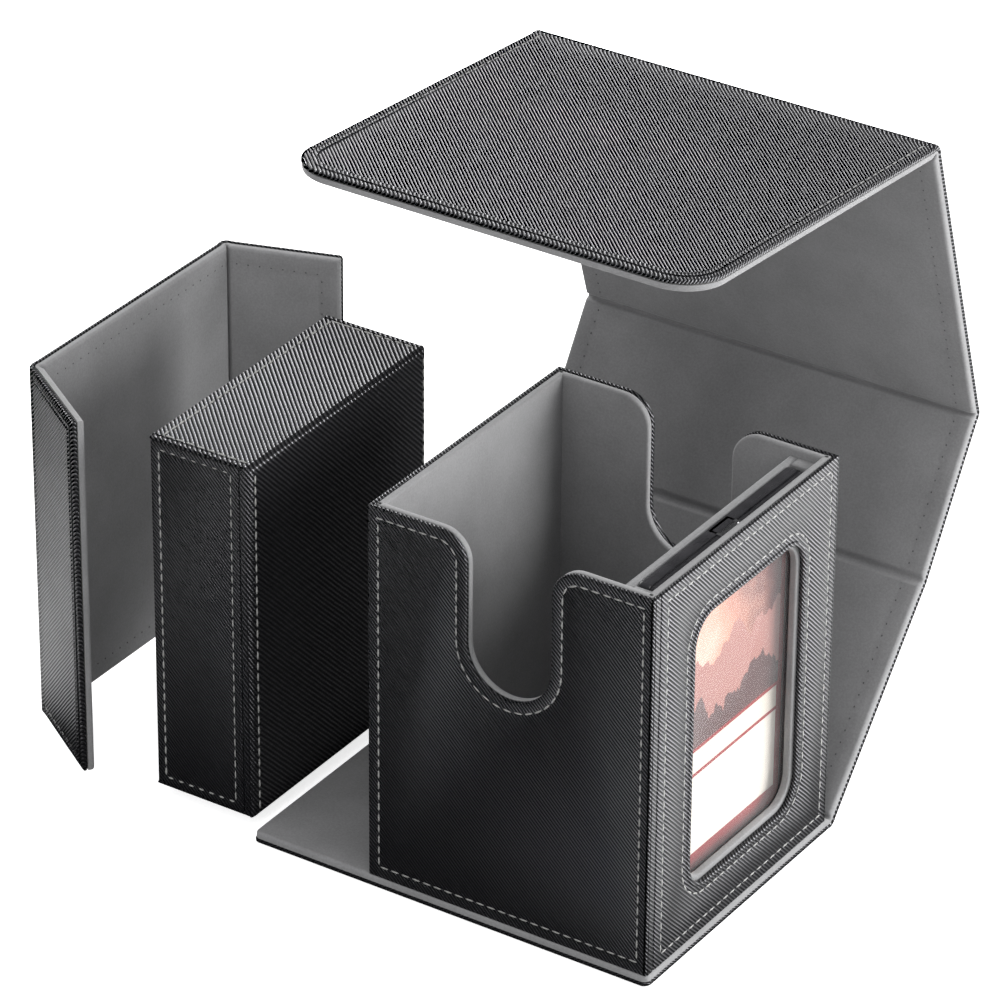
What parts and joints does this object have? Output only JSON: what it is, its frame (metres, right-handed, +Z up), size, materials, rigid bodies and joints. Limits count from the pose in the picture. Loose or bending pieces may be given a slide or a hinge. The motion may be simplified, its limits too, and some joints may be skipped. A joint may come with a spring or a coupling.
{
  "type": "card deck box",
  "caption": "Fold-over leather-covered deck box with a card compartment, a display window with a card case, a dice tray and its cover.",
  "frame": {"origin": "centre of the base panel's underside", "axes": "+X along the front, from the tray to the display window; +Y from the front to the lid's back crease; +Z up"},
  "size_m": [0.1945, 0.1573, 0.1838],
  "materials": {
    "leather": "satin",
    "lining": "matte",
    "greyboard": "matte",
    "lined_board": "matte",
    "magnet": "satin",
    "case_black": "gloss",
    "case_clear": "gloss",
    "latch": "satin",
    "card": "satin"
  },
  "bodies": {
    "box": {"base_board": "greyboard", "base_skin": "leather", "base_lining": "lining", "left_wall_board": "greyboard", "front_wall_board": "greyboard", "back_wall_board": "greyboard", "window_wall_board": "greyboard", "compartment_skin": "leather", "compartment_lining": "lining", "compartment_magnets": "magnet", "slot_divider": "lined_board", "slot_spacers": "lined_board", "crease_base": "leather"},
    "back_lower": {"back_lower_board": "greyboard", "back_lower_skin": "leather", "back_lower_lining": "lining", "back_lower_magnets": "magnet", "crease_back": "leather"},
    "back_upper": {"back_upper_board": "greyboard", "back_upper_skin": "leather", "back_upper_lining": "lining", "crease_top": "leather"},
    "lid_top": {"lid_top_board": "greyboard", "lid_top_skin": "leather", "lid_top_lining": "lining", "crease_front": "leather"},
    "front_flap": {"front_flap_board": "greyboard", "front_flap_skin": "leather", "front_flap_lining": "lining", "front_flap_magnets": "magnet"},
    "dice_tray": {"tray_face_board": "greyboard", "tray_top_board": "greyboard", "tray_bottom_board": "greyboard", "tray_front_board": "greyboard", "tray_back_board": "greyboard", "tray_wrap_skin": "leather", "tray_front_skin": "leather", "tray_back_skin": "leather", "tray_lining": "lining", "tray_magnets": "magnet"},
    "tray_cover": {"cover_board": "greyboard", "cover_skin": "leather", "cover_lining": "lining", "cover_creases": "leather"},
    "cover_front_flap": {"cover_front_board": "greyboard", "cover_front_skin": "leather", "cover_front_lining": "lining", "cover_front_magnets": "magnet"},
    "cover_back_flap": {"cover_back_board": "greyboard", "cover_back_skin": "leather", "cover_back_lining": "lining", "cover_back_magnets": "magnet"},
    "card_case": {"case_back_shell": "case_black", "case_front_frame": "case_black", "case_clear_panel": "case_clear", "case_latch": "latch", "display_card": "card"}
  },
  "joints": [
    {"name": "lid_back_fold", "type": "hinge", "parent": "box", "child": "back_lower", "pos_m": [0, 0.04445, 0.00165], "axis": [1, 0, 0], "range_deg": [-45, 41]},
    {"name": "lid_middle_fold", "type": "hinge", "parent": "back_lower", "child": "back_upper", "pos_m": [0, 0.08709, 0.05071], "axis": [1, 0, 0], "range_deg": [-9.21, 10.11]},
    {"name": "lid_top_fold", "type": "hinge", "parent": "back_upper", "child": "lid_top", "pos_m": [0, 0.11052, 0.08848], "axis": [1, 0, 0], "range_deg": [-44.35, 40.41]},
    {"name": "front_flap_fold", "type": "hinge", "parent": "lid_top", "child": "front_flap", "pos_m": [0, 0.08329, 0.17327], "axis": [1, 0, 0], "range_deg": [-67.6, 22.4]},
    {"name": "tray_slide", "type": "slide", "parent": "box", "child": "dice_tray", "axis": [1, 0, 0], "range_m": [0, 0.0366]},
    {"name": "cover_slide", "type": "slide", "parent": "dice_tray", "child": "tray_cover", "axis": [0.9471, -0.321, 0], "range_m": [0, 0.04424]},
    {"name": "cover_front_fold", "type": "hinge", "parent": "tray_cover", "child": "cover_front_flap", "pos_m": [-0.1346, -0.02615, 0.05435], "axis": [0, 0, 1], "range_deg": [-56, 34]},
    {"name": "cover_back_fold", "type": "hinge", "parent": "tray_cover", "child": "cover_back_flap", "pos_m": [-0.1346, 0.05455, 0.05435], "axis": [0, 0, -1], "range_deg": [-71, 19]},
    {"name": "card_case_lift", "type": "slide", "parent": "box", "child": "card_case", "axis": [0, 0, -1], "range_m": [-0.05, 0]}
  ],
  "couplings": [
    {"joint": "lid_middle_fold", "follows": "lid_back_fold", "ratio": -0.22439},
    {"joint": "lid_top_fold", "follows": "lid_back_fold", "ratio": 0.98537}
  ]
}
